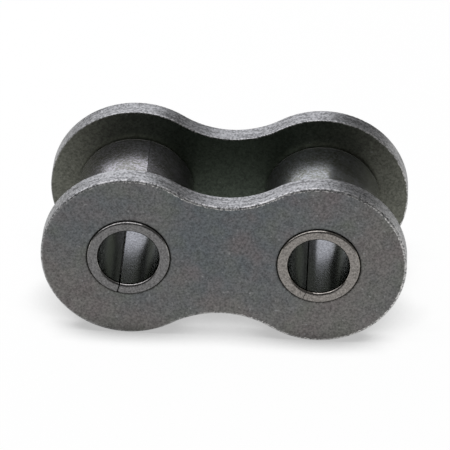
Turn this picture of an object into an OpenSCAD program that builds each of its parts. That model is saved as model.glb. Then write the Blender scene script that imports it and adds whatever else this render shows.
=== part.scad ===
// Roller link (inner link) of a single-strand roller chain: two stamped link plates pressed on to
// two curled bushings, with a curled roller turning freely on each bushing.
// X runs along the pitch line, Y along the bores and Z up. The origin is midway between the bores.

/* [Chain] */
// Distance between the axes of the two bores
pitch = 25.4; // [23:0.1:30]
// Clear width between the inner faces of the plates
inner_width = 15.88; // [12:0.02:20]

/* [Link plates] */
// Height of a plate across one of its lobes
plate_height = 23.5; // [21:0.1:25]
// Height of a plate at its waist
waist_height = 16.4; // [14:0.1:18]
// Thickness of a plate
plate_thickness = 2.95; // [2.4:0.05:4]
// Rolled edge round the outer face, where the punch entered
rolled_edge = 0.35; // [0.1:0.05:0.6]
// Tumbled edge round the inner face, where the punch broke through
broken_edge = 0.15; // [0.05:0.05:0.4]
// Rolled edge round the bushings' holes in the outer face
hole_edge = 0.12; // [0.05:0.01:0.2]

/* [Bushings] */
// Outside diameter of a bushing, which is also its seat in the plates
bushing_diameter = 11.1; // [10.4:0.1:12]
// Bore of a bushing, in which a pin turns
bore_diameter = 8.15; // [7:0.05:8.4]
// How far a bushing stands proud of each plate
bushing_projection = 0.41; // [0.05:0.01:0.5]
// Rounded corner round the outside of a bushing's ends
bushing_corner = 0.35; // [0.2:0.05:0.6]
// Rounded corner at the mouths of the bore
bore_mouth = 0.45; // [0.2:0.05:0.6]
// Gap between the curled strip's two ends in the left bushing
left_seam_gap = 0.16; // [0.06:0.02:0.4]
// Gap between the curled strip's two ends in the right bushing
right_seam_gap = 0.08; // [0.06:0.02:0.4]
// Corner rolled back by the shear along the outside of the left bushing's seam, on its right
left_seam_outside = 0.36; // [0.05:0.01:0.5]
// Corner rolled back by the shear along the outside of the right bushing's seam, on its right
right_seam_outside = 0.16; // [0.05:0.01:0.4]
// Corner rolled back by the shear along the inside of a bushing's seam, on its left
seam_inside = 0.1; // [0.05:0.01:0.3]
// Place of the left bushing's seam, in degrees from straight down towards the left
left_seam_angle = 15; // [-60:1:60]
// Place of the right bushing's seam, in degrees from straight down towards the left
right_seam_angle = 21; // [-60:1:60]

/* [Rollers] */
// Outside diameter of a roller
roller_diameter = 15.88; // [15:0.02:17]
// Running clearance between a roller and its bushing, on the radius
roller_clearance = 0.08; // [0.02:0.01:0.1]
// Clearance between each end of a roller and the plate beside it
roller_end_clearance = 0.15; // [0.1:0.01:0.3]
// Rounded corner at the ends of a roller
roller_corner = 0.7; // [0.3:0.05:1]
// Rounded corner at the mouths of a roller's bore
roller_mouth = 0.25; // [0.1:0.05:0.4]
// Gap between the curled strip's two ends in a roller
roller_seam_gap = 0.04; // [0.04:0.02:0.2]
// Corners rolled back by the shear along a roller's seam, inside and outside
roller_seam_corner = 0.05; // [0.03:0.01:0.2]
// Place of the left roller's seam, in degrees from straight up towards the right
left_roller_turn = 13; // [-180:1:180]
// Place of the right roller's seam, in degrees from straight up towards the right
right_roller_turn = 160; // [-180:1:180]

/* [Hidden] */
$fn = 96;

// How far a cutter reaches past a face
cut_over = 1;
// Where the plates' faces lie along Y
plate_inner_y = inner_width / 2;
plate_outer_y = plate_inner_y + plate_thickness;
// Plate outline: a circle for each lobe, and an arc tangent to both lobes for each side of the waist.
// Both radii are whole micrometres, so that the arcs meet exactly in the exported numbers.
lobe_radius = round(1000 * plate_height / 2) / 1000;
waist_half = waist_height / 2;
waist_reach = pow(pitch / 2, 2) + pow(waist_half, 2) - pow(lobe_radius, 2);
waist_radius = round(1000 * waist_reach / (2 * (lobe_radius - waist_half))) / 1000;
waist_centre = sqrt(pow(lobe_radius + waist_radius, 2) - pow(pitch / 2, 2));
// Bushings and rollers
bushing_length = 2 * (plate_outer_y + bushing_projection);
bushing_radius = bushing_diameter / 2;
bore_radius = bore_diameter / 2;
roller_width = inner_width - 2 * roller_end_clearance;
roller_radius = roller_diameter / 2;
roller_bore_radius = bushing_radius + roller_clearance;
// Colours for the preview
plate_colour = [0.36, 0.35, 0.35];
bushing_colour = [0.52, 0.50, 0.48];
roller_colour = [0.42, 0.41, 0.41];

// Section of a plate's rim, from the axis out to reach: z = 0 is the outer face
module rim_section(reach) {
    middle = plate_thickness / 2;
    square([reach - rolled_edge, middle]);
    translate([0, middle]) square([reach - broken_edge, middle]);
    translate([0, rolled_edge]) square([reach, plate_thickness - rolled_edge - broken_edge]);
    translate([reach - rolled_edge, rolled_edge]) circle(rolled_edge);
    translate([reach - broken_edge, plate_thickness - broken_edge]) circle(broken_edge);
}

// Section of the cutter that shapes one side of the waist, flared to leave the same rounded edges
module waist_section() {
    difference() {
        translate([0, -cut_over]) square([waist_radius + 2 * rolled_edge, plate_thickness + 2 * cut_over]);
        translate([2 * waist_radius, 0]) mirror([1, 0]) rim_section(waist_radius);
    }
}

// Moves its children up, in steps that the exported numbers hold exactly
module raise(distance) {
    whole = floor(distance);
    thousandths = floor(1000 * (distance - whole)) / 1000;
    translate([0, whole, 0])
        translate([0, thousandths, 0])
            translate([0, distance - whole - thousandths, 0]) children();
}

// Bounds of the web: lines from the lobes' centres to the waist arcs' centres, where the arcs are tangent
module web_bounds() {
    polygon([[-pitch / 2, 0], [0, -waist_centre], [pitch / 2, 0], [0, waist_centre]]);
}

// The web between the lobes
module web() {
    difference() {
        linear_extrude(plate_thickness) web_bounds();
        raise(waist_centre) rotate_extrude() waist_section();
        mirror([0, 1, 0]) raise(waist_centre) rotate_extrude() waist_section();
    }
}

// The left lobe, without the sector that belongs to the web
module lobe() {
    difference() {
        translate([-pitch / 2, 0, 0]) rotate_extrude() rim_section(lobe_radius);
        translate([0, 0, -cut_over]) linear_extrude(plate_thickness + 2 * cut_over) web_bounds();
    }
}

// Section of the cutter for a bushing's hole, flared to roll its edge in the outer face
module hole_section() {
    polygon([
        [0, -cut_over], [bushing_radius + hole_edge + cut_over, -cut_over], [bushing_radius, hole_edge],
        [bushing_radius, plate_thickness + cut_over], [0, plate_thickness + cut_over]
    ]);
}

// A link plate lying on its outer face
module flat_plate() {
    difference() {
        union() {
            web();
            lobe();
            mirror([1, 0, 0]) lobe();
        }
        for (side = [-1, 1])
            translate([side * pitch / 2, 0, 0]) rotate_extrude() hole_section();
    }
}

module front_plate() {
    color(plate_colour) translate([0, -plate_outer_y, 0]) rotate([-90, 0, 0]) flat_plate();
}

module rear_plate() {
    color(plate_colour) translate([0, plate_outer_y, 0]) rotate([90, 0, 0]) flat_plate();
}

// Section of a tube from its axis, with corners rounded outside and at the mouths
module tube_section(inner, outer, length, corner, mouth) {
    half = length / 2;
    middle = (inner + outer) / 2;
    translate([inner + mouth, -half]) square([outer - corner - inner - mouth, length]);
    translate([inner, mouth - half]) square([middle - inner, length - 2 * mouth]);
    translate([middle, corner - half]) square([outer - middle, length - 2 * corner]);
    for (end = [-1, 1]) {
        translate([inner + mouth, end * (half - mouth)]) circle(mouth);
        translate([outer - corner, end * (half - corner)]) circle(corner);
    }
}

// Gap between the two ends of a curled strip. The shear rolls back the outside corner of the end on +X
// and the inside corner of the end on -X.
module seam(gap, outside, inside, inner, outer, length) {
    near = gap / 2;
    translate([0, 0, -length / 2 - cut_over])
        linear_extrude(length + 2 * cut_over)
            polygon([
                [-near - inside, inner - cut_over], [near, inner - cut_over], [near, outer - outside],
                [near + outside, outer], [near + outside, outer + cut_over], [-near, outer + cut_over],
                [-near, inner + inside], [-near - inside, inner]
            ]);
}

// A curled bushing with its seam on +Y and its axis along Z
module bushing(gap, outside) {
    difference() {
        rotate_extrude()
            tube_section(bore_radius, bushing_radius, bushing_length, bushing_corner, bore_mouth);
        seam(gap, outside, seam_inside, bore_radius, bushing_radius, bushing_length);
    }
}

// A curled roller with its seam on +Y and its axis along Z
module roller() {
    difference() {
        rotate_extrude()
            tube_section(roller_bore_radius, roller_radius, roller_width, roller_corner, roller_mouth);
        seam(
            roller_seam_gap, roller_seam_corner, roller_seam_corner,
            roller_bore_radius, roller_radius, roller_width
        );
    }
}

module left_bushing() {
    color(bushing_colour)
        translate([-pitch / 2, 0, 0])
            rotate([0, left_seam_angle, 0]) rotate([-90, 0, 0]) bushing(left_seam_gap, left_seam_outside);
}

module right_bushing() {
    color(bushing_colour)
        translate([pitch / 2, 0, 0])
            rotate([0, right_seam_angle, 0]) rotate([-90, 0, 0]) bushing(right_seam_gap, right_seam_outside);
}

module left_roller() {
    color(roller_colour)
        translate([-pitch / 2, 0, 0]) rotate([0, left_roller_turn, 0]) rotate([90, 0, 0]) roller();
}

module right_roller() {
    color(roller_colour)
        translate([pitch / 2, 0, 0]) rotate([0, right_roller_turn, 0]) rotate([90, 0, 0]) roller();
}

front_plate();
rear_plate();
left_bushing();
right_bushing();
left_roller();
right_roller();
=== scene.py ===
"""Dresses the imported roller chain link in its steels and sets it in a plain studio."""

import logging
import math
from dataclasses import dataclass
from enum import Enum

import bpy
from mathutils import Matrix, Vector


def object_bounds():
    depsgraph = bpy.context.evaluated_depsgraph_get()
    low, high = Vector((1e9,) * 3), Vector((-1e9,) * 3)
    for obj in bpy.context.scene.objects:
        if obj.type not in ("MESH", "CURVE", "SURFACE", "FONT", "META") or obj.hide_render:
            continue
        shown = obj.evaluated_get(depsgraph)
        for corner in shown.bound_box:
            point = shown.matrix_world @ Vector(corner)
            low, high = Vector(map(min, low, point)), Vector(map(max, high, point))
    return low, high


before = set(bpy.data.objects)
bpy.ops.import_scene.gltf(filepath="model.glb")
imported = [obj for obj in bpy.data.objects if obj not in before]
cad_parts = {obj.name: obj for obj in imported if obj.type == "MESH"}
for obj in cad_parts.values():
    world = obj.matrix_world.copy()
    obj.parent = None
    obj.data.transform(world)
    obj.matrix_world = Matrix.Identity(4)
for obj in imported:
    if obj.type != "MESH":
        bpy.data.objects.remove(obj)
CAD_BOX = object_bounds()

LOG = logging.getLogger("roller_link")
MM = 0.001

# The Mix node repeats its sockets' names for each kind of data, so they go by number
MIX_SHARE = 0
MIX_VALUE_A = 2
MIX_VALUE_B = 3
MIX_COLOUR_A = 6
MIX_COLOUR_B = 7
MIXED_VALUE = 0
MIXED_COLOUR = 2

Triple = tuple[float, float, float]
Socket = bpy.types.NodeSocket
Tree = bpy.types.NodeTree


class Piece(Enum):
    """The solids of the link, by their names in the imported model."""

    FRONT_PLATE = "front_plate"
    REAR_PLATE = "rear_plate"
    LEFT_BUSHING = "left_bushing"
    RIGHT_BUSHING = "right_bushing"
    LEFT_ROLLER = "left_roller"
    RIGHT_ROLLER = "right_roller"


@dataclass(frozen=True)
class Pattern:
    """A noise pattern: the size of its features, and how many finer layers it has and how strong they are."""

    size_mm: float
    detail: float
    roughness: float

    @property
    def scale(self) -> float:
        """Gives the texture scale, in repeats per metre."""
        return 1 / (self.size_mm * MM)


@dataclass(frozen=True)
class Ramp:
    """A passage from low to high, made while the value that is read goes from start to stop."""

    start: float
    stop: float
    low: float = 0.0
    high: float = 1.0


def linear(hex_colour: str) -> tuple[float, float, float, float]:
    """Turns an sRGB hex colour into linear light.

    Args:
        hex_colour: Six hex digits, such as "5C5B5B".

    Returns:
        Red, green, blue and an alpha of 1.
    """
    channels = []
    for start in (0, 2, 4):
        value = int(hex_colour[start:start + 2], 16) / 255
        # The standard's curve is straight near black and a power above that
        channels.append(value / 12.92 if value <= 0.04045 else ((value + 0.055) / 1.055) ** 2.4)
    return (channels[0], channels[1], channels[2], 1.0)


def add_node(tree: Tree, kind: str, inputs: dict[str | int, object], **settings: object) -> bpy.types.Node:
    """Adds one node with its settings and links.

    Args:
        tree: The tree that takes the node.
        kind: Blender's name for the type of node.
        inputs: Input sockets by name or number, each with a value or the output that feeds it.
        settings: Properties of the node, by name.

    Returns:
        The new node.
    """
    node = tree.nodes.new(kind)
    for name, value in settings.items():
        setattr(node, name, value)
    for key, value in inputs.items():
        if isinstance(value, Socket):
            tree.links.new(value, node.inputs[key])
        else:
            node.inputs[key].default_value = value
    return node


def new_material(name: str) -> bpy.types.Material:
    """Makes an empty node material.

    Args:
        name: What the material is called.

    Returns:
        The material, with no nodes.
    """
    material = bpy.data.materials.new(name)
    material.use_nodes = True
    material.node_tree.nodes.clear()
    return material


def dress(piece: Piece, material: bpy.types.Material) -> None:
    """Gives one piece its finish.

    Args:
        piece: The piece.
        material: Its finish.
    """
    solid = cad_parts[piece.value]
    for slot in solid.material_slots:
        slot.material = material
    LOG.info("%s dressed in %s", piece.value, material.name)


@dataclass(frozen=True)
class PlateOutline:
    """Sizes of a plate's outline, which has a circle for each lobe and an arc for each side of the waist."""

    half_pitch_mm: float = 12.7
    lobe_radius_mm: float = 11.75
    waist_radius_mm: float = 12.742
    waist_centre_mm: float = 20.942
    hole_radius_mm: float = 5.55


@dataclass(frozen=True)
class PlatePoint:
    """What the plate's finish reads of a point on it.

    Attributes:
        place: The point itself.
        rise: How far it lies above the pitch line.
        side: How far it lies to either side of the middle.
        height: How far it lies above or below the pitch line.
        spoke: How far it lies from the axis of the nearer bore.
        facing: 1 on a flat face and 0 on the sheared rim.
        inner: 1 on the inner face and 0 on the outer one.
        grain: The grain of the steel there.
    """

    place: Socket
    rise: Socket
    side: Socket
    height: Socket
    spoke: Socket
    facing: Socket
    inner: Socket
    grain: Socket


@dataclass(frozen=True)
class PlateSteel:
    """Medium-carbon steel plate, blanked, hardened and tumbled.

    The outer faces carry a thin dark oxide with faint temper tints: bluest near the middle of the upper edge,
    browner towards the ends, with purple and olive clouds. The brown is painted lighter than the blue as
    well, which is painted light towards the ends and the bottom. The inner faces keep a darker, greener
    oxide, with painted light that makes them lighter towards their ends. The sheared rim and the rolled edge
    are rubbed bright and grainy, least of all at the lower left. A dark ring of painted shade lies in the
    crevice round each bushing, deepest below.
    """

    name: str = "tempered_plate_steel"
    outline: PlateOutline = PlateOutline()
    metallic: float = 1.0

    # Oxide on the faces
    blue_tint: str = "5C6063"
    # Brown temper tint, also painted lighter than the blue: painted light towards the ends and the bottom
    brown_tint_painted_lighter: str = "6A6866"
    purple_tint: str = "686162"
    olive_tint: str = "60645D"
    inner_tint: str = "5C645A"
    # Lighter colour for the inner face's ends: painted light where the space between the plates opens out
    inner_end_painted_light_tint: str = "696A62"
    face_roughness: float = 0.36
    inner_roughness: float = 0.4
    tint_centre_mm: Triple = (-1.0, 0.0, 9.0)
    tint_stretch: Triple = (0.7, 0.0, 1.0)
    tint_ramp_mm: Ramp = Ramp(4.0, 20.0)
    mottle: Pattern = Pattern(7.0, detail=3.0, roughness=0.55)
    mottle_ramp: Ramp = Ramp(0.3, 0.7, low=-0.45, high=0.45)
    cloud: Pattern = Pattern(4.0, detail=2.0, roughness=0.5)
    purple_ramp: Ramp = Ramp(0.5, 0.75, high=0.6)
    olive_ramp: Ramp = Ramp(0.48, 0.25, high=0.6)
    inner_ramp_mm: Ramp = Ramp(9.0, 8.0)
    inner_end_painted_light_ramp_mm: Ramp = Ramp(8.0, 20.0)

    # Tumbling grit and bright flecks in the oxide, which are finer on a real plate and are drawn to show
    fleck_bright: str = "909091"
    grit: Pattern = Pattern(0.3, detail=3.0, roughness=0.7)
    grit_ramp: Ramp = Ramp(0.32, 0.68, low=0.62, high=1.42)
    fleck: Pattern = Pattern(0.5, detail=1.0, roughness=0.5)
    fleck_ramp: Ramp = Ramp(0.71, 0.78, high=0.6)

    # Sheared rim and rolled edge, with a grain that is drawn coarser than the real one so that it shows
    rim_dark: str = "6A6A6A"
    rim_bright: str = "B3B3B3"
    edge_worn: str = "D6D4D2"
    rim_roughness: float = 0.46
    grain: Pattern = Pattern(0.32, detail=2.0, roughness=0.7)
    streak: Pattern = Pattern(0.5, detail=2.0, roughness=0.6)
    streak_stretch: Triple = (0.12, 1.0, 0.12)
    streak_weight: float = 0.5
    torn_ramp: Ramp = Ramp(0.61, 0.87)
    rubbed_ramp: Ramp = Ramp(0.42, 0.64)
    corner_ramp: Ramp = Ramp(0.05, 0.3)
    rim_ragged: float = 0.12
    rim_ramp: Ramp = Ramp(0.9, 0.8)
    handled_way: Triple = (1.0, 0.0, 0.8)
    handled_ramp_mm: Ramp = Ramp(-20.0, 0.0, low=0.15)
    nick_mm: float = 0.5
    nick_ramp_mm: Ramp = Ramp(0.1, 0.03)
    inner_set_mm: float = 0.17
    relief_ramp: Ramp = Ramp(0.0, 1.0, low=0.15, high=0.8)
    relief_mm: float = 0.04

    # Painted shade in the crevice round the bushings, deepest below
    crevice_shade_dark: str = "2A2927"
    crevice_shade_mm: float = 0.22
    crevice_shade_fray: float = 2.0
    lower_shade_ramp_mm: Ramp = Ramp(3.0, -2.0, low=0.4, high=0.95)

    def read_point(self, tree: Tree) -> PlatePoint:
        """Finds where a point lies on its plate.

        Args:
            tree: The material's tree.

        Returns:
            What the rest of the finish reads of the point.
        """
        source = add_node(tree, "ShaderNodeTexCoord", {})
        place = source.outputs["Object"]
        position = add_node(tree, "ShaderNodeSeparateXYZ", {0: place})
        axes = add_node(tree, "ShaderNodeSeparateXYZ", {0: source.outputs["Normal"]})
        facing = add_node(tree, "ShaderNodeMath", {0: axes.outputs["Y"]}, operation="ABSOLUTE")
        depth = add_node(tree, "ShaderNodeMath", {0: position.outputs["Y"]}, operation="ABSOLUTE")
        inner = add_node(tree, "ShaderNodeMapRange", {
            "Value": depth.outputs[0],
            "From Min": self.inner_ramp_mm.start * MM, "From Max": self.inner_ramp_mm.stop * MM,
        })
        side = add_node(tree, "ShaderNodeMath", {0: position.outputs["X"]}, operation="ABSOLUTE")
        height = add_node(tree, "ShaderNodeMath", {0: position.outputs["Z"]}, operation="ABSOLUTE")
        across = add_node(tree, "ShaderNodeMath", {
            0: side.outputs[0], 1: self.outline.half_pitch_mm * MM,
        }, operation="SUBTRACT")
        spoke = add_node(tree, "ShaderNodeCombineXYZ", {"X": across.outputs[0], "Z": height.outputs[0]})
        spoke = add_node(tree, "ShaderNodeVectorMath", {0: spoke.outputs[0]}, operation="LENGTH")
        grain = add_node(tree, "ShaderNodeTexNoise", {
            "Vector": place, "Scale": self.grain.scale,
            "Detail": self.grain.detail, "Roughness": self.grain.roughness,
        })
        return PlatePoint(
            place=place, rise=position.outputs["Z"], side=side.outputs[0], height=height.outputs[0],
            spoke=spoke.outputs["Value"], facing=facing.outputs[0], inner=inner.outputs[0],
            grain=grain.outputs["Fac"],
        )

    def measure_inward(self, tree: Tree, point: PlatePoint) -> Socket:
        """Measures how far in from the plate's outline a point lies.

        Args:
            tree: The material's tree.
            point: The point.

        Returns:
            Its distance from a lobe's circle or, in the web between the lobes, from the waist's arc.
        """
        centre = self.outline.waist_centre_mm * MM
        from_lobe = add_node(tree, "ShaderNodeMath", {
            0: self.outline.lobe_radius_mm * MM, 1: point.spoke,
        }, operation="SUBTRACT")
        below = add_node(tree, "ShaderNodeMath", {0: point.height, 1: centre}, operation="SUBTRACT")
        arm = add_node(tree, "ShaderNodeCombineXYZ", {"X": point.side, "Z": below.outputs[0]})
        arm = add_node(tree, "ShaderNodeVectorMath", {0: arm.outputs[0]}, operation="LENGTH")
        from_waist = add_node(tree, "ShaderNodeMath", {
            0: arm.outputs["Value"], 1: self.outline.waist_radius_mm * MM,
        }, operation="SUBTRACT")
        # The web ends at the lines from the lobes' centres to the centres of the waist's arcs
        web = add_node(tree, "ShaderNodeMath", {
            0: point.side, 1: self.outline.waist_centre_mm / self.outline.half_pitch_mm, 2: point.height,
        }, operation="MULTIPLY_ADD")
        web = add_node(tree, "ShaderNodeMath", {0: web.outputs[0], 1: centre}, operation="LESS_THAN")
        inward = add_node(tree, "ShaderNodeMix", {
            MIX_SHARE: web.outputs[0],
            MIX_VALUE_A: from_lobe.outputs[0], MIX_VALUE_B: from_waist.outputs[0],
        })
        return inward.outputs[MIXED_VALUE]

    def weigh_handling(self, tree: Tree, point: PlatePoint) -> Socket:
        """Says how much the edges are rubbed, which is least at the lower left.

        Args:
            tree: The material's tree.
            point: The point.

        Returns:
            1 where they are rubbed most.
        """
        handled = add_node(tree, "ShaderNodeVectorMath", {
            0: point.place, 1: self.handled_way,
        }, operation="DOT_PRODUCT")
        handled = add_node(tree, "ShaderNodeMapRange", {
            "Value": handled.outputs["Value"],
            "From Min": self.handled_ramp_mm.start * MM, "From Max": self.handled_ramp_mm.stop * MM,
            "To Min": self.handled_ramp_mm.low,
        })
        return handled.outputs[0]

    def mask_rim(self, tree: Tree, point: PlatePoint, handled: Socket) -> Socket:
        """Finds the sheared rim, which has a torn boundary, and the nicks in the edges of the faces.

        Args:
            tree: The material's tree.
            point: The point.
            handled: How much the edges are rubbed.

        Returns:
            0 on a face and 1 on the rim or in a nick.
        """
        ragged = add_node(tree, "ShaderNodeMath", {
            0: point.grain, 1: -self.rim_ragged, 2: point.facing,
        }, operation="MULTIPLY_ADD")
        rim = add_node(tree, "ShaderNodeMapRange", {
            "Value": ragged.outputs[0], "From Min": self.rim_ramp.start, "From Max": self.rim_ramp.stop,
        }, interpolation_type="SMOOTHSTEP")
        # The inner face starts nearer to the outline, because its edge is rounded less
        bite = add_node(tree, "ShaderNodeMath", {
            0: point.inner, 1: self.inner_set_mm * MM, 2: self.measure_inward(tree, point),
        }, operation="MULTIPLY_ADD")
        bite = add_node(tree, "ShaderNodeMath", {
            0: point.grain, 1: -self.nick_mm * MM, 2: bite.outputs[0],
        }, operation="MULTIPLY_ADD")
        nick = add_node(tree, "ShaderNodeMapRange", {
            "Value": bite.outputs[0],
            "From Min": self.nick_ramp_mm.start * MM, "From Max": self.nick_ramp_mm.stop * MM,
            "To Max": handled,
        })
        rim = add_node(tree, "ShaderNodeMath", {0: rim.outputs[0], 1: nick.outputs[0]}, operation="MAXIMUM")
        return rim.outputs[0]

    def tint_outer_face(self, tree: Tree, point: PlatePoint) -> Socket:
        """Tints the outer face: blue turning brown away from one place, with purple and olive clouds, and the
        brown painted lighter as painted light.

        Args:
            tree: The material's tree.
            point: The point.

        Returns:
            The colour of the oxide.
        """
        reach = add_node(tree, "ShaderNodeVectorMath", {
            0: point.place, 1: tuple(length * MM for length in self.tint_centre_mm),
        }, operation="SUBTRACT")
        reach = add_node(tree, "ShaderNodeVectorMath", {
            0: reach.outputs[0], 1: self.tint_stretch,
        }, operation="MULTIPLY")
        reach = add_node(tree, "ShaderNodeVectorMath", {0: reach.outputs[0]}, operation="LENGTH")
        far = add_node(tree, "ShaderNodeMapRange", {
            "Value": reach.outputs["Value"],
            "From Min": self.tint_ramp_mm.start * MM, "From Max": self.tint_ramp_mm.stop * MM,
        })
        mottle = add_node(tree, "ShaderNodeTexNoise", {
            "Vector": point.place, "Scale": self.mottle.scale,
            "Detail": self.mottle.detail, "Roughness": self.mottle.roughness,
        })
        patch = add_node(tree, "ShaderNodeMapRange", {
            "Value": mottle.outputs["Fac"],
            "From Min": self.mottle_ramp.start, "From Max": self.mottle_ramp.stop,
            "To Min": self.mottle_ramp.low, "To Max": self.mottle_ramp.high,
        })
        warm = add_node(tree, "ShaderNodeMath", {
            0: far.outputs[0], 1: patch.outputs[0],
        }, operation="ADD", use_clamp=True)
        # Blue turning to brown, and the brown's lighter tone is painted light
        tint = add_node(tree, "ShaderNodeMix", {
            MIX_SHARE: warm.outputs[0],
            MIX_COLOUR_A: linear(self.blue_tint), MIX_COLOUR_B: linear(self.brown_tint_painted_lighter),
        }, data_type="RGBA")
        cloud = add_node(tree, "ShaderNodeTexNoise", {
            "Vector": point.place, "Scale": self.cloud.scale,
            "Detail": self.cloud.detail, "Roughness": self.cloud.roughness,
        })
        for ramp, colour in ((self.purple_ramp, self.purple_tint), (self.olive_ramp, self.olive_tint)):
            share = add_node(tree, "ShaderNodeMapRange", {
                "Value": cloud.outputs["Fac"],
                "From Min": ramp.start, "From Max": ramp.stop, "To Max": ramp.high,
            })
            tint = add_node(tree, "ShaderNodeMix", {
                MIX_SHARE: share.outputs[0],
                MIX_COLOUR_A: tint.outputs[MIXED_COLOUR], MIX_COLOUR_B: linear(colour),
            }, data_type="RGBA")
        return tint.outputs[MIXED_COLOUR]

    def tint_inner_face(self, tree: Tree, point: PlatePoint) -> Socket:
        """Tints the inner face: greener oxide, with painted light that makes it lighter towards its ends.

        Args:
            tree: The material's tree.
            point: The point.

        Returns:
            The colour of the oxide.
        """
        end = add_node(tree, "ShaderNodeMapRange", {
            "Value": point.side,
            "From Min": self.inner_end_painted_light_ramp_mm.start * MM, "From Max": self.inner_end_painted_light_ramp_mm.stop * MM,
        })
        tint = add_node(tree, "ShaderNodeMix", {
            MIX_SHARE: end.outputs[0],
            MIX_COLOUR_A: linear(self.inner_tint), MIX_COLOUR_B: linear(self.inner_end_painted_light_tint),
        }, data_type="RGBA")
        return tint.outputs[MIXED_COLOUR]

    def colour_faces(self, tree: Tree, point: PlatePoint) -> Socket:
        """Colours the faces: tinted oxide with tumbling grit in it and a few bright flecks.

        Args:
            tree: The material's tree.
            point: The point.

        Returns:
            The colour of a face.
        """
        tint = add_node(tree, "ShaderNodeMix", {
            MIX_SHARE: point.inner,
            MIX_COLOUR_A: self.tint_outer_face(tree, point), MIX_COLOUR_B: self.tint_inner_face(tree, point),
        }, data_type="RGBA")
        grit = add_node(tree, "ShaderNodeTexNoise", {
            "Vector": point.place, "Scale": self.grit.scale,
            "Detail": self.grit.detail, "Roughness": self.grit.roughness,
        })
        speck = add_node(tree, "ShaderNodeMapRange", {
            "Value": grit.outputs["Fac"], "From Min": self.grit_ramp.start, "From Max": self.grit_ramp.stop,
            "To Min": self.grit_ramp.low, "To Max": self.grit_ramp.high,
        })
        face = add_node(tree, "ShaderNodeMix", {
            MIX_SHARE: 1.0, MIX_COLOUR_A: tint.outputs[MIXED_COLOUR], MIX_COLOUR_B: speck.outputs[0],
        }, data_type="RGBA", blend_type="MULTIPLY")
        spark = add_node(tree, "ShaderNodeTexNoise", {
            "Vector": point.place, "Scale": self.fleck.scale,
            "Detail": self.fleck.detail, "Roughness": self.fleck.roughness,
        })
        fleck = add_node(tree, "ShaderNodeMapRange", {
            "Value": spark.outputs["Fac"],
            "From Min": self.fleck_ramp.start, "From Max": self.fleck_ramp.stop,
            "To Max": self.fleck_ramp.high,
        })
        face = add_node(tree, "ShaderNodeMix", {
            MIX_SHARE: fleck.outputs[0],
            MIX_COLOUR_A: face.outputs[MIXED_COLOUR], MIX_COLOUR_B: linear(self.fleck_bright),
        }, data_type="RGBA")
        return face.outputs[MIXED_COLOUR]

    def tear_grain(self, tree: Tree, point: PlatePoint) -> Socket:
        """Adds streaks along the edge to the grain.

        Args:
            tree: The material's tree.
            point: The point.

        Returns:
            How far the steel is torn up there.
        """
        along = add_node(tree, "ShaderNodeMapping", {"Vector": point.place, "Scale": self.streak_stretch})
        streak = add_node(tree, "ShaderNodeTexNoise", {
            "Vector": along.outputs[0], "Scale": self.streak.scale,
            "Detail": self.streak.detail, "Roughness": self.streak.roughness,
        })
        torn = add_node(tree, "ShaderNodeMath", {
            0: streak.outputs["Fac"], 1: self.streak_weight, 2: point.grain,
        }, operation="MULTIPLY_ADD")
        return torn.outputs[0]

    def colour_rim(self, tree: Tree, point: PlatePoint, torn: Socket, handled: Socket) -> Socket:
        """Colours the rim: torn grain, brightest on the rolled edge.

        Args:
            tree: The material's tree.
            point: The point.
            torn: How far the steel is torn up.
            handled: How much the edges are rubbed.

        Returns:
            The colour of the rim.
        """
        worn = add_node(tree, "ShaderNodeMapRange", {
            "Value": torn, "From Min": self.torn_ramp.start, "From Max": self.torn_ramp.stop,
        })
        sheared = add_node(tree, "ShaderNodeMix", {
            MIX_SHARE: worn.outputs[0],
            MIX_COLOUR_A: linear(self.rim_dark), MIX_COLOUR_B: linear(self.rim_bright),
        }, data_type="RGBA")
        corner = add_node(tree, "ShaderNodeMapRange", {
            "Value": point.facing, "From Min": self.corner_ramp.start, "From Max": self.corner_ramp.stop,
        }, interpolation_type="SMOOTHSTEP")
        rubbed = add_node(tree, "ShaderNodeMapRange", {
            "Value": point.grain, "From Min": self.rubbed_ramp.start, "From Max": self.rubbed_ramp.stop,
        })
        for share in (corner.outputs[0], handled):
            rubbed = add_node(tree, "ShaderNodeMath", {0: share, 1: rubbed.outputs[0]}, operation="MULTIPLY")
        sheared = add_node(tree, "ShaderNodeMix", {
            MIX_SHARE: rubbed.outputs[0],
            MIX_COLOUR_A: sheared.outputs[MIXED_COLOUR], MIX_COLOUR_B: linear(self.edge_worn),
        }, data_type="RGBA")
        return sheared.outputs[MIXED_COLOUR]

    def paint_crevice_shade(self, tree: Tree, point: PlatePoint) -> Socket:
        """Paints shade in the crevice round each bushing, deepest below.

        Args:
            tree: The material's tree.
            point: The point.

        Returns:
            How much of the steel the painted shade darkens.
        """
        lower_shade = add_node(tree, "ShaderNodeMapRange", {
            "Value": point.rise,
            "From Min": self.lower_shade_ramp_mm.start * MM, "From Max": self.lower_shade_ramp_mm.stop * MM,
            "To Min": self.lower_shade_ramp_mm.low, "To Max": self.lower_shade_ramp_mm.high,
        })
        frayed = add_node(tree, "ShaderNodeMath", {
            0: point.grain, 1: -self.crevice_shade_fray * self.crevice_shade_mm * MM, 2: point.spoke,
        }, operation="MULTIPLY_ADD")
        crevice_shade = add_node(tree, "ShaderNodeMapRange", {
            "Value": frayed.outputs[0],
            "From Min": (self.outline.hole_radius_mm + self.crevice_shade_mm / 2) * MM,
            "From Max": (self.outline.hole_radius_mm - self.crevice_shade_mm / 2) * MM,
            "To Max": lower_shade.outputs[0],
        })
        return crevice_shade.outputs[0]

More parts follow.
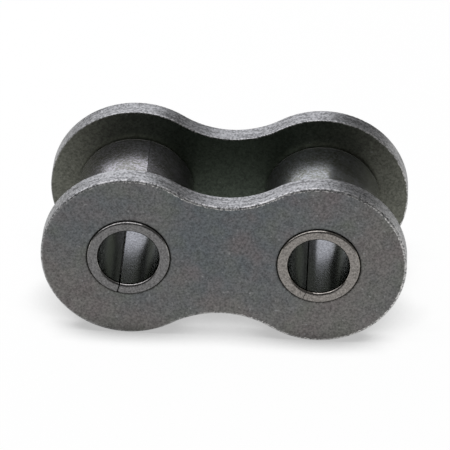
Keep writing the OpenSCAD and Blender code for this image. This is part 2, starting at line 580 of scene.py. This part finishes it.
    def build(self) -> bpy.types.Material:
        """Builds the finish.

        Returns:
            The material.
        """
        material = new_material(self.name)
        tree = material.node_tree
        point = self.read_point(tree)
        handled = self.weigh_handling(tree, point)
        rim = self.mask_rim(tree, point, handled)
        torn = self.tear_grain(tree, point)
        colour = add_node(tree, "ShaderNodeMix", {
            MIX_SHARE: rim,
            MIX_COLOUR_A: self.colour_faces(tree, point),
            MIX_COLOUR_B: self.colour_rim(tree, point, torn, handled),
        }, data_type="RGBA")
        # Painted shade: a dark ring in the crevice round each bushing, deepest below
        colour = add_node(tree, "ShaderNodeMix", {
            MIX_SHARE: self.paint_crevice_shade(tree, point),
            MIX_COLOUR_A: colour.outputs[MIXED_COLOUR], MIX_COLOUR_B: linear(self.crevice_shade_dark),
        }, data_type="RGBA")
        gloss = add_node(tree, "ShaderNodeMapRange", {
            "Value": point.inner, "To Min": self.face_roughness, "To Max": self.inner_roughness,
        })
        gloss = add_node(tree, "ShaderNodeMix", {
            MIX_SHARE: rim, MIX_VALUE_A: gloss.outputs[0], MIX_VALUE_B: self.rim_roughness,
        })
        relief = add_node(tree, "ShaderNodeMapRange", {
            "Value": rim, "From Min": self.relief_ramp.start, "From Max": self.relief_ramp.stop,
            "To Min": self.relief_ramp.low, "To Max": self.relief_ramp.high,
        })
        bump = add_node(tree, "ShaderNodeBump", {
            "Strength": relief.outputs[0], "Distance": self.relief_mm * MM, "Height": torn,
        })
        shader = add_node(tree, "ShaderNodeBsdfPrincipled", {
            "Base Color": colour.outputs[MIXED_COLOUR], "Metallic": self.metallic,
            "Roughness": gloss.outputs[MIXED_VALUE], "Normal": bump.outputs[0],
        })
        add_node(tree, "ShaderNodeOutputMaterial", {"Surface": shader.outputs[0]})
        return material


@dataclass(frozen=True)
class BushingSteel:
    """Case-hardened strip, curled into a tube and faced off at its ends.

    The faced ends are grey and finely grained, with corners rubbed bright. The bore keeps its dark oxide,
    with fine marks round it and a lighter lane along its upturned floor, which is a painted highlight. The
    grain and the marks are finer on a real bushing, and are drawn this coarse so that they show.
    """

    name: str
    end_colour: str
    corner_colour: str = "ABA8A4"
    bore_colour: str = "585C52"
    # Painted highlight on the bore's upturned floor
    bore_floor_highlight: str = "7E7F82"
    metallic: float = 1.0
    end_roughness: float = 0.3
    corner_roughness: float = 0.16
    bore_roughness: float = 0.22
    end_ramp: Ramp = Ramp(0.62, 0.82)
    wall_ramp: Ramp = Ramp(0.3, 0.05)
    bore_floor_highlight_ramp: Ramp = Ramp(0.75, 0.95)
    grain: Pattern = Pattern(0.25, detail=2.0, roughness=0.65)
    grain_ramp: Ramp = Ramp(0.32, 0.68, low=0.58, high=1.42)
    mark: Pattern = Pattern(0.35, detail=3.0, roughness=0.6)
    mark_stretch: Triple = (0.15, 1.0, 0.15)
    relief: float = 0.15
    relief_mm: float = 0.02

    def colour_bore(self, tree: Tree, upward: Socket) -> Socket:
        """Colours the bore, with a painted highlight along its upturned floor.

        Args:
            tree: The material's tree.
            upward: How far the surface is turned up.

        Returns:
            The colour of the bore.
        """
        floor_highlight = add_node(tree, "ShaderNodeMapRange", {
            "Value": upward, "From Min": self.bore_floor_highlight_ramp.start, "From Max": self.bore_floor_highlight_ramp.stop,
        }, interpolation_type="SMOOTHSTEP")
        # Lighter colour where the bore's floor faces up: painted highlight
        bore = add_node(tree, "ShaderNodeMix", {
            MIX_SHARE: floor_highlight.outputs[0],
            MIX_COLOUR_A: linear(self.bore_colour), MIX_COLOUR_B: linear(self.bore_floor_highlight),
        }, data_type="RGBA")
        return bore.outputs[MIXED_COLOUR]

    def grain_colour(self, tree: Tree, place: Socket, colour: Socket) -> Socket:
        """Lays the fine grain over a colour.

        Args:
            tree: The material's tree.
            place: The point.
            colour: The colour without the grain.

        Returns:
            The colour with the grain.
        """
        grain = add_node(tree, "ShaderNodeTexNoise", {
            "Vector": place, "Scale": self.grain.scale,
            "Detail": self.grain.detail, "Roughness": self.grain.roughness,
        })
        speck = add_node(tree, "ShaderNodeMapRange", {
            "Value": grain.outputs["Fac"],
            "From Min": self.grain_ramp.start, "From Max": self.grain_ramp.stop,
            "To Min": self.grain_ramp.low, "To Max": self.grain_ramp.high,
        })
        grained = add_node(tree, "ShaderNodeMix", {
            MIX_SHARE: 1.0, MIX_COLOUR_A: colour, MIX_COLOUR_B: speck.outputs[0],
        }, data_type="RGBA", blend_type="MULTIPLY")
        return grained.outputs[MIXED_COLOUR]

    def build(self) -> bpy.types.Material:
        """Builds the finish.

        Returns:
            The material.
        """
        material = new_material(self.name)
        tree = material.node_tree
        source = add_node(tree, "ShaderNodeTexCoord", {})
        place = source.outputs["Object"]
        axes = add_node(tree, "ShaderNodeSeparateXYZ", {0: source.outputs["Normal"]})
        facing = add_node(tree, "ShaderNodeMath", {0: axes.outputs["Y"]}, operation="ABSOLUTE")
        end = add_node(tree, "ShaderNodeMapRange", {
            "Value": facing.outputs[0], "From Min": self.end_ramp.start, "From Max": self.end_ramp.stop,
        }, interpolation_type="SMOOTHSTEP")
        wall = add_node(tree, "ShaderNodeMapRange", {
            "Value": facing.outputs[0], "From Min": self.wall_ramp.start, "From Max": self.wall_ramp.stop,
        }, interpolation_type="SMOOTHSTEP")
        colour = add_node(tree, "ShaderNodeMix", {
            MIX_SHARE: end.outputs[0],
            MIX_COLOUR_A: linear(self.corner_colour), MIX_COLOUR_B: linear(self.end_colour),
        }, data_type="RGBA")
        colour = add_node(tree, "ShaderNodeMix", {
            MIX_SHARE: wall.outputs[0],
            MIX_COLOUR_A: colour.outputs[MIXED_COLOUR],
            MIX_COLOUR_B: self.colour_bore(tree, axes.outputs["Z"]),
        }, data_type="RGBA")
        gloss = add_node(tree, "ShaderNodeMapRange", {
            "Value": end.outputs[0], "To Min": self.corner_roughness, "To Max": self.end_roughness,
        })
        gloss = add_node(tree, "ShaderNodeMix", {
            MIX_SHARE: wall.outputs[0], MIX_VALUE_A: gloss.outputs[0], MIX_VALUE_B: self.bore_roughness,
        })
        along = add_node(tree, "ShaderNodeMapping", {"Vector": place, "Scale": self.mark_stretch})
        marks = add_node(tree, "ShaderNodeTexNoise", {
            "Vector": along.outputs[0], "Scale": self.mark.scale,
            "Detail": self.mark.detail, "Roughness": self.mark.roughness,
        })
        bump = add_node(tree, "ShaderNodeBump", {
            "Strength": self.relief, "Distance": self.relief_mm * MM, "Height": marks.outputs["Fac"],
        })
        shader = add_node(tree, "ShaderNodeBsdfPrincipled", {
            "Base Color": self.grain_colour(tree, place, colour.outputs[MIXED_COLOUR]),
            "Metallic": self.metallic, "Roughness": gloss.outputs[MIXED_VALUE], "Normal": bump.outputs[0],
        })
        add_node(tree, "ShaderNodeOutputMaterial", {"Surface": shader.outputs[0]})
        return material


@dataclass(frozen=True)
class RollerSteel:
    """Hardened roller, curled from strip and tumbled.

    It has an even fine grain, faint marks round it and a thin olive oxide that is rubbed through in small
    spots. Its rounded corners are tumbled dull and light, and their light colour is partly painted light,
    which softens the dark gaps between the roller and the plates. One end of the strip lies a little flat
    beside the seam, so the light breaks off there. The grain and the marks are drawn coarser than real ones,
    to show.
    """

    name: str
    axis_x_mm: float
    seam_deg: float
    dark: str = "636453"
    light: str = "B3B0B6"
    # Tumbled corner colour, partly painted light that softens the dark gaps at the plates
    corner: str = "A8A79F"
    metallic: float = 0.92
    roughness: float = 0.23
    corner_roughness: float = 0.6
    corner_ramp: Ramp = Ramp(0.03, 0.25)
    cloud: Pattern = Pattern(3.0, detail=3.0, roughness=0.6)
    cloud_weight: float = 0.4
    grain: Pattern = Pattern(0.35, detail=2.0, roughness=0.7)
    worn_ramp: Ramp = Ramp(0.5, 0.9)
    mark: Pattern = Pattern(0.3, detail=3.0, roughness=0.6)
    mark_stretch: Triple = (0.12, 1.0, 0.12)
    grain_relief: float = 0.5
    relief: float = 0.15
    relief_mm: float = 0.02
    flat_mm: float = 3.5
    flat_slope: float = 0.05

    def colour_oxide(self, tree: Tree, place: Socket, grain: Socket) -> Socket:
        """Colours the oxide and the lighter steel where it is rubbed through.

        Args:
            tree: The material's tree.
            place: The point.
            grain: The grain of the steel there.

        Returns:
            The colour of the roller away from its corners.
        """
        cloud = add_node(tree, "ShaderNodeTexNoise", {
            "Vector": place, "Scale": self.cloud.scale,
            "Detail": self.cloud.detail, "Roughness": self.cloud.roughness,
        })
        rubbed = add_node(tree, "ShaderNodeMath", {
            0: cloud.outputs["Fac"], 1: self.cloud_weight, 2: grain,
        }, operation="MULTIPLY_ADD")
        worn = add_node(tree, "ShaderNodeMapRange", {
            "Value": rubbed.outputs[0], "From Min": self.worn_ramp.start, "From Max": self.worn_ramp.stop,
        })
        colour = add_node(tree, "ShaderNodeMix", {
            MIX_SHARE: worn.outputs[0],
            MIX_COLOUR_A: linear(self.dark), MIX_COLOUR_B: linear(self.light),
        }, data_type="RGBA")
        return colour.outputs[MIXED_COLOUR]

    def flatten_strip_end(self, tree: Tree, place: Socket) -> Socket:
        """Lets the strip's end fall away in a flat beside the seam.

        Args:
            tree: The material's tree.
            place: The point.

        Returns:
            The surface's direction with that fall.
        """
        spoke = add_node(tree, "ShaderNodeMapping", {
            "Vector": place, "Location": (-self.axis_x_mm * MM, 0.0, 0.0),
        })
        spoke = add_node(tree, "ShaderNodeVectorRotate", {
            "Vector": spoke.outputs[0], "Angle": math.radians(-self.seam_deg),
        }, rotation_type="Y_AXIS")
        beyond = add_node(tree, "ShaderNodeSeparateXYZ", {0: spoke.outputs[0]})
        upper = add_node(tree, "ShaderNodeMath", {0: beyond.outputs["Z"], 1: 0.0}, operation="GREATER_THAN")
        fall = add_node(tree, "ShaderNodeMapRange", {
            "Value": beyond.outputs["X"], "From Max": self.flat_mm * MM,
            "To Max": -self.flat_slope * self.flat_mm * MM,
        })
        fall = add_node(tree, "ShaderNodeMath", {
            0: fall.outputs[0], 1: upper.outputs[0],
        }, operation="MULTIPLY")
        # The fall is in metres already, so it is neither weakened nor scaled
        flat = add_node(tree, "ShaderNodeBump", {"Strength": 1.0, "Distance": 1.0, "Height": fall.outputs[0]})
        return flat.outputs[0]

    def build(self) -> bpy.types.Material:
        """Builds the finish.

        Returns:
            The material.
        """
        material = new_material(self.name)
        tree = material.node_tree
        source = add_node(tree, "ShaderNodeTexCoord", {})
        place = source.outputs["Object"]
        axes = add_node(tree, "ShaderNodeSeparateXYZ", {0: source.outputs["Normal"]})
        facing = add_node(tree, "ShaderNodeMath", {0: axes.outputs["Y"]}, operation="ABSOLUTE")
        grain = add_node(tree, "ShaderNodeTexNoise", {
            "Vector": place, "Scale": self.grain.scale,
            "Detail": self.grain.detail, "Roughness": self.grain.roughness,
        })
        along = add_node(tree, "ShaderNodeMapping", {"Vector": place, "Scale": self.mark_stretch})
        marks = add_node(tree, "ShaderNodeTexNoise", {
            "Vector": along.outputs[0], "Scale": self.mark.scale,
            "Detail": self.mark.detail, "Roughness": self.mark.roughness,
        })
        corner = add_node(tree, "ShaderNodeMapRange", {
            "Value": facing.outputs[0], "From Min": self.corner_ramp.start, "From Max": self.corner_ramp.stop,
        }, interpolation_type="SMOOTHSTEP")
        # The corners' light colour is partly painted light, softening the dark gaps at the plates
        colour = add_node(tree, "ShaderNodeMix", {
            MIX_SHARE: corner.outputs[0],
            MIX_COLOUR_A: self.colour_oxide(tree, place, grain.outputs["Fac"]),
            MIX_COLOUR_B: linear(self.corner),
        }, data_type="RGBA")
        gloss = add_node(tree, "ShaderNodeMapRange", {
            "Value": corner.outputs[0], "To Min": self.roughness, "To Max": self.corner_roughness,
        })
        height = add_node(tree, "ShaderNodeMath", {
            0: grain.outputs["Fac"], 1: self.grain_relief, 2: marks.outputs["Fac"],
        }, operation="MULTIPLY_ADD")
        bump = add_node(tree, "ShaderNodeBump", {
            "Strength": self.relief, "Distance": self.relief_mm * MM, "Height": height.outputs[0],
            "Normal": self.flatten_strip_end(tree, place),
        })
        shader = add_node(tree, "ShaderNodeBsdfPrincipled", {
            "Base Color": colour.outputs[MIXED_COLOUR], "Metallic": self.metallic,
            "Roughness": gloss.outputs[0], "Normal": bump.outputs[0],
        })
        add_node(tree, "ShaderNodeOutputMaterial", {"Surface": shader.outputs[0]})
        return material


@dataclass(frozen=True)
class WhitePaper:
    """Matt white paper, which shows an even white and is dark where the link stands close over it.

    The camera and the steel see the paper's glow, and the shade is worked out there from how much of the
    open space over each point the link takes up.
    """

    name: str = "white_paper"
    colour: str = "FAFAFA"
    glow_share: float = 0.98
    contact_mm: float = 6.0
    contact_ramp: Ramp = Ramp(0.5, 0.84, low=0.5)
    under_mm: float = 12.0
    under_ramp: Ramp = Ramp(0.45, 0.85, low=0.48)
    front_lean: float = 1.0
    shade_samples: int = 16

    def share_seen(self, tree: Tree) -> Socket:
        """Says how much of the glow a ray sees.

        Args:
            tree: The material's tree.

        Returns:
            The share of glow for the camera and in reflections, and none for other rays.
        """
        rays = add_node(tree, "ShaderNodeLightPath", {})
        seen = rays.outputs["Is Camera Ray"]
        for kind in ("Is Glossy Ray", "Is Transmission Ray"):
            either = add_node(tree, "ShaderNodeMath", {0: seen, 1: rays.outputs[kind]}, operation="MAXIMUM")
            seen = either.outputs[0]
        share = add_node(tree, "ShaderNodeMath", {0: seen, 1: self.glow_share}, operation="MULTIPLY")
        return share.outputs[0]

    def shade(self, tree: Tree) -> Socket:
        """Works out the link's shadow.

        Args:
            tree: The material's tree.

        Returns:
            How much light is left, from dark at the link to 1 away from it.
        """
        contact = add_node(tree, "ShaderNodeAmbientOcclusion", {
            "Distance": self.contact_mm * MM,
        }, samples=self.shade_samples)
        # The room's open front lights the floor up to the front plate, and it is dark behind that
        front = add_node(tree, "ShaderNodeCombineXYZ", {"Y": -self.front_lean, "Z": 1.0})
        under = add_node(tree, "ShaderNodeAmbientOcclusion", {
            "Distance": self.under_mm * MM, "Normal": front.outputs[0],
        }, samples=self.shade_samples)
        lights = []
        for cover, ramp in ((contact, self.contact_ramp), (under, self.under_ramp)):
            light = add_node(tree, "ShaderNodeMapRange", {
                "Value": cover.outputs["AO"], "From Min": ramp.start, "From Max": ramp.stop,
                "To Min": ramp.low, "To Max": ramp.high,
            })
            lights.append(light.outputs[0])
        darker = add_node(tree, "ShaderNodeMath", {0: lights[0], 1: lights[1]}, operation="MINIMUM")
        return darker.outputs[0]

    def build(self) -> bpy.types.Material:
        """Builds the finish.

        Returns:
            The material.
        """
        material = new_material(self.name)
        tree = material.node_tree
        paper = add_node(tree, "ShaderNodeBsdfDiffuse", {"Color": linear(self.colour)})
        glow = add_node(tree, "ShaderNodeEmission", {"Strength": self.shade(tree)})
        surface = add_node(tree, "ShaderNodeMixShader", {
            0: self.share_seen(tree), 1: paper.outputs[0], 2: glow.outputs[0],
        })
        add_node(tree, "ShaderNodeOutputMaterial", {"Surface": surface.outputs[0]})
        return material


@dataclass
class LinkPlates:
    """The two stamped plates."""

    finish: PlateSteel = PlateSteel()

    def dress(self) -> None:
        """Gives both plates their finish."""
        steel = self.finish.build()
        for piece in (Piece.FRONT_PLATE, Piece.REAR_PLATE):
            dress(piece, steel)


@dataclass
class Bushings:
    """The two curled bushings, of which the left one was faced duller."""

    left: BushingSteel = BushingSteel("curled_bushing_steel_dull", end_colour="6F6E6E")
    right: BushingSteel = BushingSteel("curled_bushing_steel", end_colour="837F7B", corner_colour="B3ADA4")

    def dress(self) -> None:
        """Gives each bushing its finish."""
        dress(Piece.LEFT_BUSHING, self.left.build())
        dress(Piece.RIGHT_BUSHING, self.right.build())


@dataclass
class Rollers:
    """The two rollers, of which the right one has its rubbed steel painted darker, as painted shade."""

    left: RollerSteel = RollerSteel("tumbled_roller_steel_left", axis_x_mm=-12.7, seam_deg=13.0)
    # The right roller's darker rubbed steel is painted shade, for its dimmer highlight at the lamp's edge
    right: RollerSteel = RollerSteel(
        "tumbled_roller_steel_right_painted_shade", axis_x_mm=12.7, seam_deg=160.0, light="A3A5A8",
    )

    def dress(self) -> None:
        """Gives each roller its finish."""
        dress(Piece.LEFT_ROLLER, self.left.build())
        dress(Piece.RIGHT_ROLLER, self.right.build())


@dataclass(frozen=True)
class Softbox:
    """A flat rectangular lamp: its centre, the point it faces and its size, in metres, and its brightness."""

    name: str
    centre: Triple
    faces: Triple
    width: float
    depth: float
    radiance: float
    colour: str = "FFFFFF"

    def build(self) -> None:
        """Hangs the lamp."""
        lamp = bpy.data.lights.new(self.name, "AREA")
        lamp.shape = "RECTANGLE"
        lamp.size = self.width
        lamp.size_y = self.depth
        # A lamp of this area shines evenly from its face: watts = radiance x pi x area
        lamp.energy = self.radiance * math.pi * self.width * self.depth
        lamp.color = linear(self.colour)[:3]
        box = bpy.data.objects.new(self.name, lamp)
        aim = Vector(self.faces) - Vector(self.centre)
        box.rotation_euler = aim.to_track_quat("-Z", "Y").to_euler()
        box.location = self.centre
        bpy.context.scene.collection.objects.link(box)
        LOG.info("%s hung", self.name)


@dataclass
class Studio:
    """A white floor in a dim grey room, with a wide softbox close overhead and a small one on the right."""

    floor_side: float = 6.0
    paper: WhitePaper = WhitePaper()
    room_colour: str = "646464"
    overhead: Softbox = Softbox(
        "overhead_softbox", (-0.126, 0.152, 0.1), (-0.126, 0.152, 0.0),
        width=0.318, depth=0.416, radiance=1.5, colour="F7F8FF",
    )
    side: Softbox = Softbox(
        "side_softbox", (1.0, 0.55, 0.42), (0.0, 0.0, 0.0), width=0.35, depth=0.6, radiance=1.6,
    )

    def build_floor(self) -> None:
        """Lays the floor under the link."""
        low, _ = CAD_BOX
        bpy.ops.object.select_all(action="DESELECT")
        bpy.ops.mesh.primitive_plane_add(size=self.floor_side, location=(0.0, 0.0, low[2]))
        floor = bpy.context.object
        floor.name = "floor"
        floor.data.materials.append(self.paper.build())
        LOG.info("%s laid", floor.name)

    def build_room(self) -> None:
        """Sets the room's grey."""
        world = bpy.data.worlds.new("room")
        world.use_nodes = True
        tree = world.node_tree
        tree.nodes.clear()
        room = add_node(tree, "ShaderNodeBackground", {"Color": linear(self.room_colour)})
        add_node(tree, "ShaderNodeOutputWorld", {"Surface": room.outputs[0]})
        bpy.context.scene.world = world

    def build(self) -> None:
        """Builds the floor, the lamps and the room."""
        self.build_floor()
        self.overhead.build()
        self.side.build()
        self.build_room()


@dataclass
class Viewpoint:
    """The photograph's camera, placed by its angles round the point that it aims at."""

    azimuth_deg: float = 1.492
    elevation_deg: float = 30.127
    roll_deg: float = 1.846
    distance_mm: float = 612.28
    aim_mm: Triple = (-0.238, 0.0, -0.697)
    lens_mm: float = 361.69
    sensor_mm: float = 36.0

    def build(self) -> None:
        """Makes the camera and sets it as the scene's own."""
        turn = math.radians(self.azimuth_deg)
        rise = math.radians(self.elevation_deg)
        out = Vector((math.sin(turn) * math.cos(rise), -math.cos(turn) * math.cos(rise), math.sin(rise)))
        data = bpy.data.cameras.new("camera")
        data.lens = self.lens_mm
        data.sensor_width = self.sensor_mm
        camera = bpy.data.objects.new("camera", data)
        place = Matrix.Translation(Vector(self.aim_mm) * MM + out * self.distance_mm * MM)
        tilt = out.to_track_quat("Z", "Y").to_matrix().to_4x4()
        camera.matrix_world = place @ tilt @ Matrix.Rotation(math.radians(self.roll_deg), 4, "Z")
        bpy.context.scene.collection.objects.link(camera)
        bpy.context.scene.camera = camera


def main() -> None:
    """Dresses the link and builds the studio around it."""
    logging.basicConfig(level=logging.INFO)
    bpy.context.scene.view_settings.view_transform = "Standard"
    LinkPlates().dress()
    Bushings().dress()
    Rollers().dress()
    Studio().build()
    Viewpoint().build()


if __name__ == "__main__":
    main()
